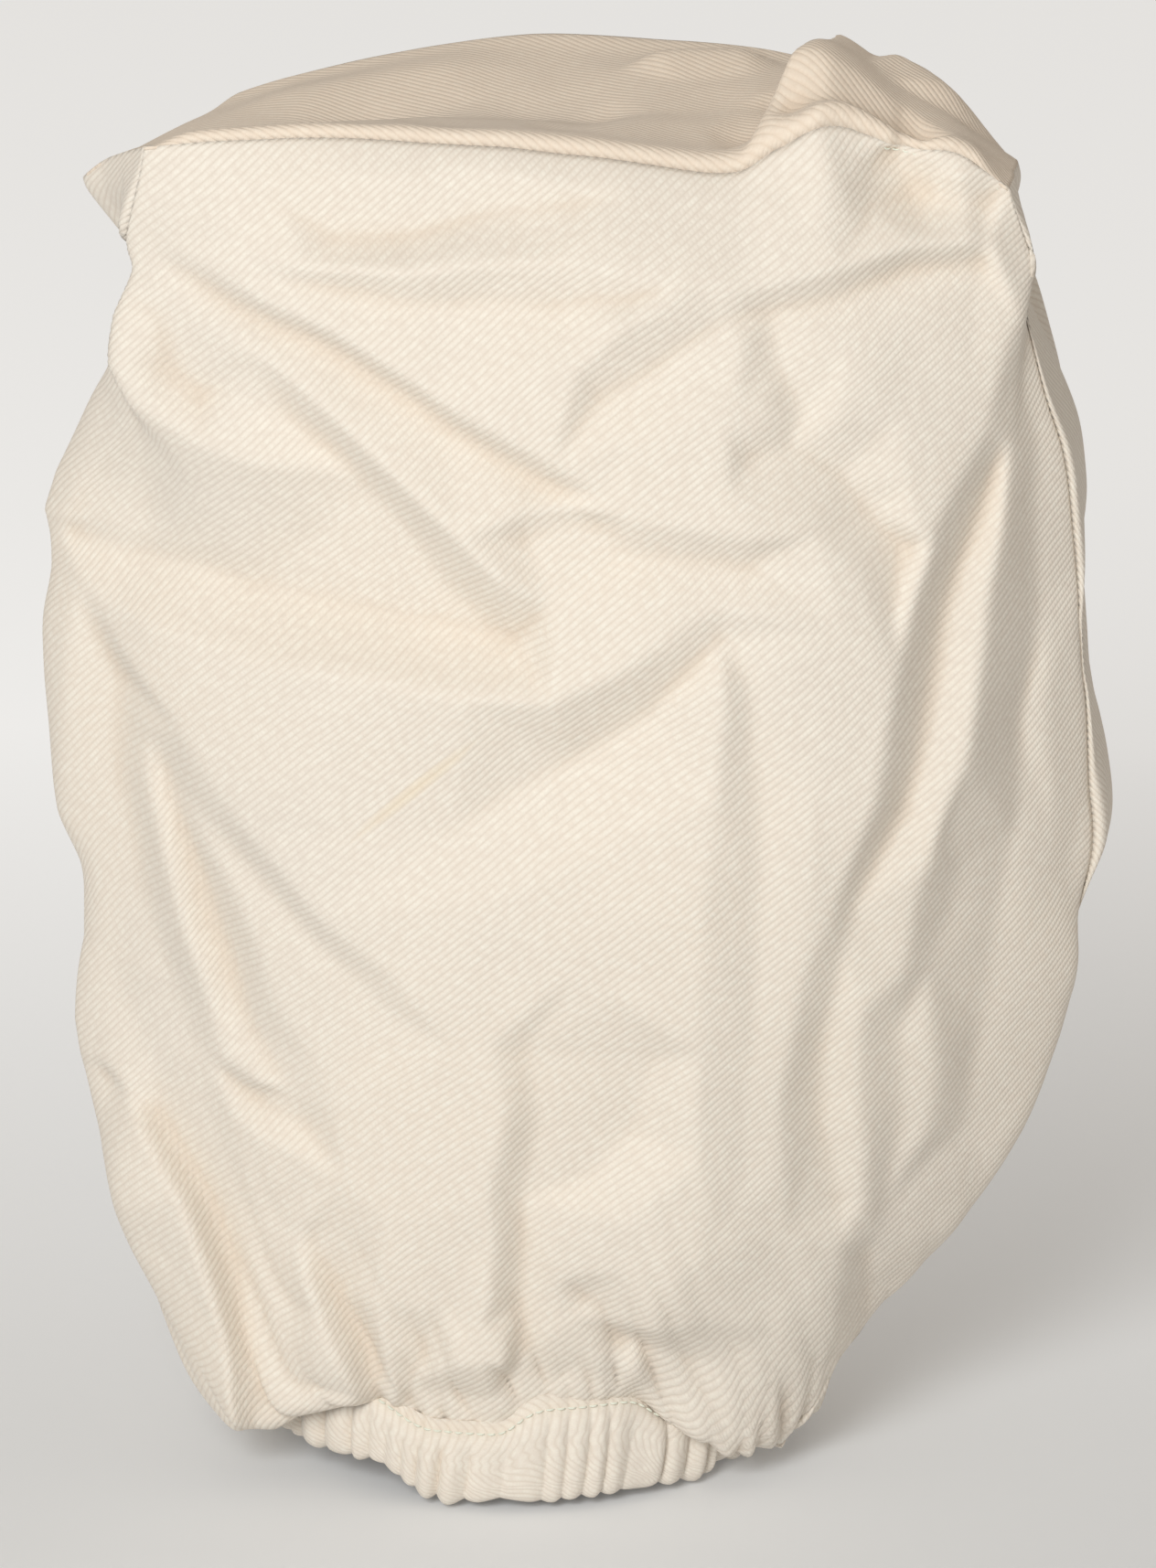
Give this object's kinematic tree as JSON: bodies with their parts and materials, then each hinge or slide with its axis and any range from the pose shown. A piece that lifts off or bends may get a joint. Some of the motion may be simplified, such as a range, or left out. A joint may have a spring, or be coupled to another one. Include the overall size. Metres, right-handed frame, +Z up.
{
  "type": "smoke hood",
  "caption": "Cream twill smoke hood with plain nape panel, gusset, clear face window and gathered elastic neck hem.",
  "frame": {"origin": "centre of the bounding box's footprint, on the surface that the hem stands on", "axes": "+Z up from the neck to the crown; -Y out of the plain nape panel; +Y out of the face panel with the window; +X to the right seen from -Y"},
  "size_m": [0.32, 0.2132, 0.4259],
  "materials": {
    "twill": "heavy cream cotton twill, matt, ridges about 1.9 mm apart",
    "elastic": "woven white elastic strap, 20 mm wide",
    "thread": "cream sewing thread",
    "binding": "folded cotton tape",
    "film": "clear flexible film"
  },
  "bodies": {
    "hood": {"nape_panel": "twill", "face_panel": "twill", "crown_gusset": "twill", "left_gusset": "twill", "right_gusset": "twill", "hem_casing_nape": "twill", "neck_elastic_nape": "elastic", "hem_stitching_nape": "thread", "elastic_join_tack": "thread", "nape_seam_thread": "thread", "face_seam_thread": "thread", "left_gusset_join_thread": "thread", "right_gusset_join_thread": "thread", "window_film": "film", "window_binding": "binding", "window_stitching": "thread"},
    "chin_hem": {"hem_casing_chin": "twill", "neck_elastic_chin": "elastic", "hem_stitching_chin": "thread"}
  },
  "joints": [
    {"name": "neck_stretch", "type": "slide", "parent": "hood", "child": "chin_hem", "axis": [0, 1, 0], "range_m": [0, 0.088], "stiffness_N_per_m": 60}
  ]
}
